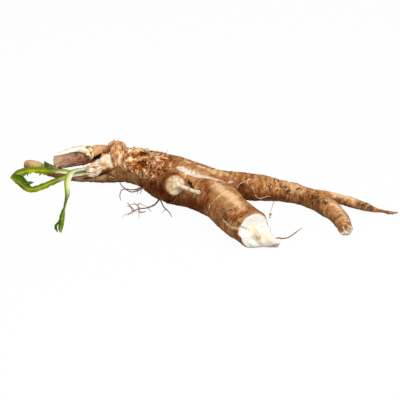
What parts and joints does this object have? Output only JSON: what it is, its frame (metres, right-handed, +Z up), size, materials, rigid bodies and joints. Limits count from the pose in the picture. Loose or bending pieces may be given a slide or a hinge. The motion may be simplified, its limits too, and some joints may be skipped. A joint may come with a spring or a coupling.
{
  "type": "chicory root",
  "caption": "Dug chicory taproot lying on its side: rotted crown with young leaves at one end, a thick body that forks into a snapped white stub and a thinner tail.",
  "frame": {"origin": "on the surface the root lies on, below the centre of its bounding box", "axes": "+X along the root from the leafy crown to the tail, +Y across it towards the side of the far fork, +Z up"},
  "size_m": [0.2925, 0.1346, 0.0361],
  "materials": {
    "root_skin": "matte",
    "leaf_green": "satin",
    "dry_straw": "matte",
    "rootlet_bark": "matte"
  },
  "bodies": {
    "root": {"taproot": "root_skin", "leaf_drooping": "leaf_green", "leaf_serrated": "leaf_green", "leaf_folded": "leaf_green", "leaf_bud": "leaf_green", "dry_scale": "dry_straw", "dry_stalk": "dry_straw", "dry_stick": "rootlet_bark", "rootlet_curled": "rootlet_bark", "rootlet_hooked": "rootlet_bark", "rootlet_bushy": "rootlet_bark", "rootlet_straight": "rootlet_bark", "rootlet_at_snap": "rootlet_bark"}
  },
  "joints": []
}
